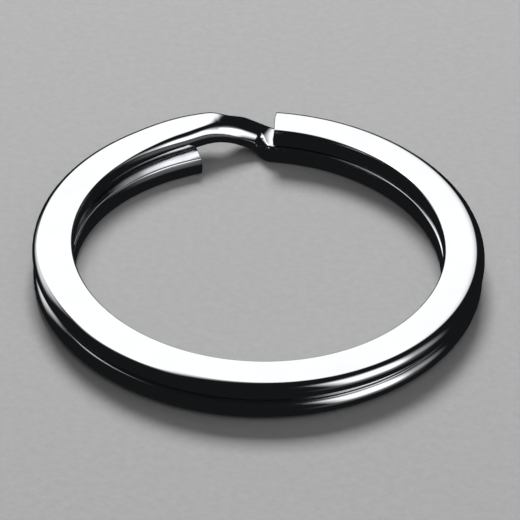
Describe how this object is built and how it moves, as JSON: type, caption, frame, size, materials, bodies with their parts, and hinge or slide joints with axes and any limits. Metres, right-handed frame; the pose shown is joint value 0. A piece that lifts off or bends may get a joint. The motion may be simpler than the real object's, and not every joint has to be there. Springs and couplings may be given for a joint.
{
  "type": "split key ring",
  "caption": "Split key ring: a flat steel wire wound into two coils lying on each other, with a stepped crossover. Either cut end springs away from the coils to let a key in.",
  "frame": {"origin": "on the axis of the ring, level with the flat underside that it lies on", "axes": "+Z along the ring's axis, from the lower coil towards the upper coil; +Y towards the crossover, where the two cut ends are; +X to the right of someone who faces the crossover across the ring"},
  "size_m": [0.0299, 0.0302, 0.0028],
  "materials": {
    "polished_steel": "bright nickel plate on spring steel, polished, with fine handling scratches"
  },
  "bodies": {
    "lower_end": {"lower_end": "polished_steel"},
    "lower_flex_5": {"lower_coil_10": "polished_steel"},
    "lower_flex_4": {"lower_coil_09": "polished_steel"},
    "lower_flex_3": {"lower_coil_08": "polished_steel"},
    "lower_flex_2": {"lower_coil_07": "polished_steel"},
    "lower_flex_1": {"lower_coil_06": "polished_steel"},
    "middle": {"lower_coil_05": "polished_steel", "lower_coil_04": "polished_steel", "lower_coil_03": "polished_steel", "lower_coil_02": "polished_steel", "lower_coil_01": "polished_steel", "crossover_bend": "polished_steel", "upper_coil_10": "polished_steel", "upper_coil_09": "polished_steel", "upper_coil_08": "polished_steel", "upper_coil_07": "polished_steel", "upper_coil_06": "polished_steel"},
    "upper_flex_5": {"upper_coil_05": "polished_steel"},
    "upper_flex_4": {"upper_coil_04": "polished_steel"},
    "upper_flex_3": {"upper_coil_03": "polished_steel"},
    "upper_flex_2": {"upper_coil_02": "polished_steel"},
    "upper_flex_1": {"upper_coil_01": "polished_steel"},
    "upper_end": {"upper_end": "polished_steel"}
  },
  "joints": [
    {"name": "upper_end_lift", "type": "hinge", "parent": "middle", "child": "upper_flex_5", "pos_m": [-0.00085, -0.01437, 0.00143], "axis": [0.9981, -0.061, 0], "range_deg": [0, 2.1], "stiffness_Nm_per_rad": 0.1, "springref_deg": -0.29},
    {"name": "upper_bend_5", "type": "hinge", "parent": "upper_flex_5", "child": "upper_flex_4", "pos_m": [0.00646, -0.01289, 0.00143], "axis": [0.9784, 0.2067, 0], "range_deg": [0, 2.03]},
    {"name": "upper_bend_4", "type": "hinge", "parent": "upper_flex_4", "child": "upper_flex_3", "pos_m": [0.01204, -0.00795, 0.00143], "axis": [0.8876, 0.4606, 0], "range_deg": [0, 1.82]},
    {"name": "upper_bend_3", "type": "hinge", "parent": "upper_flex_3", "child": "upper_flex_2", "pos_m": [0.0144, -0.00088, 0.00143], "axis": [0.7301, 0.6833, 0], "range_deg": [0, 1.49]},
    {"name": "upper_bend_2", "type": "hinge", "parent": "upper_flex_2", "child": "upper_flex_1", "pos_m": [0.01292, 0.00643, 0.00143], "axis": [0.5109, 0.8597, 0], "range_deg": [0, 1.05]},
    {"name": "upper_bend_1", "type": "hinge", "parent": "upper_flex_1", "child": "upper_end", "pos_m": [0.00798, 0.01201, 0.00143], "axis": [0.217, 0.9762, 0], "range_deg": [0, 0.547]},
    {"name": "lower_bend_1", "type": "hinge", "parent": "lower_end", "child": "lower_flex_5", "pos_m": [-0.01069, 0.00869, 0.00136], "axis": [0.4679, -0.8838, 0], "range_deg": [0, 0.536]},
    {"name": "lower_bend_2", "type": "hinge", "parent": "lower_flex_5", "child": "lower_flex_4", "pos_m": [-0.01399, 0.00226, 0.00136], "axis": [0.7162, -0.6978, 0], "range_deg": [0, 1.04]},
    {"name": "lower_bend_3", "type": "hinge", "parent": "lower_flex_4", "child": "lower_flex_3", "pos_m": [-0.01349, -0.00511, 0.00136], "axis": [0.886, -0.4638, 0], "range_deg": [0, 1.49]},
    {"name": "lower_bend_4", "type": "hinge", "parent": "lower_flex_3", "child": "lower_flex_2", "pos_m": [-0.00913, -0.01116, 0.00136], "axis": [0.981, -0.1941, 0], "range_deg": [0, 1.82]},
    {"name": "lower_bend_5", "type": "hinge", "parent": "lower_flex_2", "child": "lower_flex_1", "pos_m": [-0.00233, -0.01421, 0.00136], "axis": [0.9964, 0.085, 0], "range_deg": [0, 2.03]},
    {"name": "lower_end_part", "type": "hinge", "parent": "lower_flex_1", "child": "middle", "pos_m": [0.00508, -0.01346, 0.00136], "axis": [0.9348, 0.3551, 0], "range_deg": [0, 2.1], "stiffness_Nm_per_rad": 0.1, "springref_deg": -0.29}
  ],
  "couplings": [
    {"joint": "upper_bend_5", "follows": "upper_end_lift", "ratio": 0.96595},
    {"joint": "upper_bend_4", "follows": "upper_end_lift", "ratio": 0.86614},
    {"joint": "upper_bend_3", "follows": "upper_end_lift", "ratio": 0.70738},
    {"joint": "upper_bend_2", "follows": "upper_end_lift", "ratio": 0.50059},
    {"joint": "upper_bend_1", "follows": "upper_end_lift", "ratio": 0.26023},
    {"joint": "lower_bend_1", "follows": "lower_end_part", "ratio": 0.25505},
    {"joint": "lower_bend_2", "follows": "lower_end_part", "ratio": 0.49713},
    {"joint": "lower_bend_3", "follows": "lower_end_part", "ratio": 0.7082},
    {"joint": "lower_bend_4", "follows": "lower_end_part", "ratio": 0.86655},
    {"joint": "lower_bend_5", "follows": "lower_end_part", "ratio": 0.96605}
  ]
}
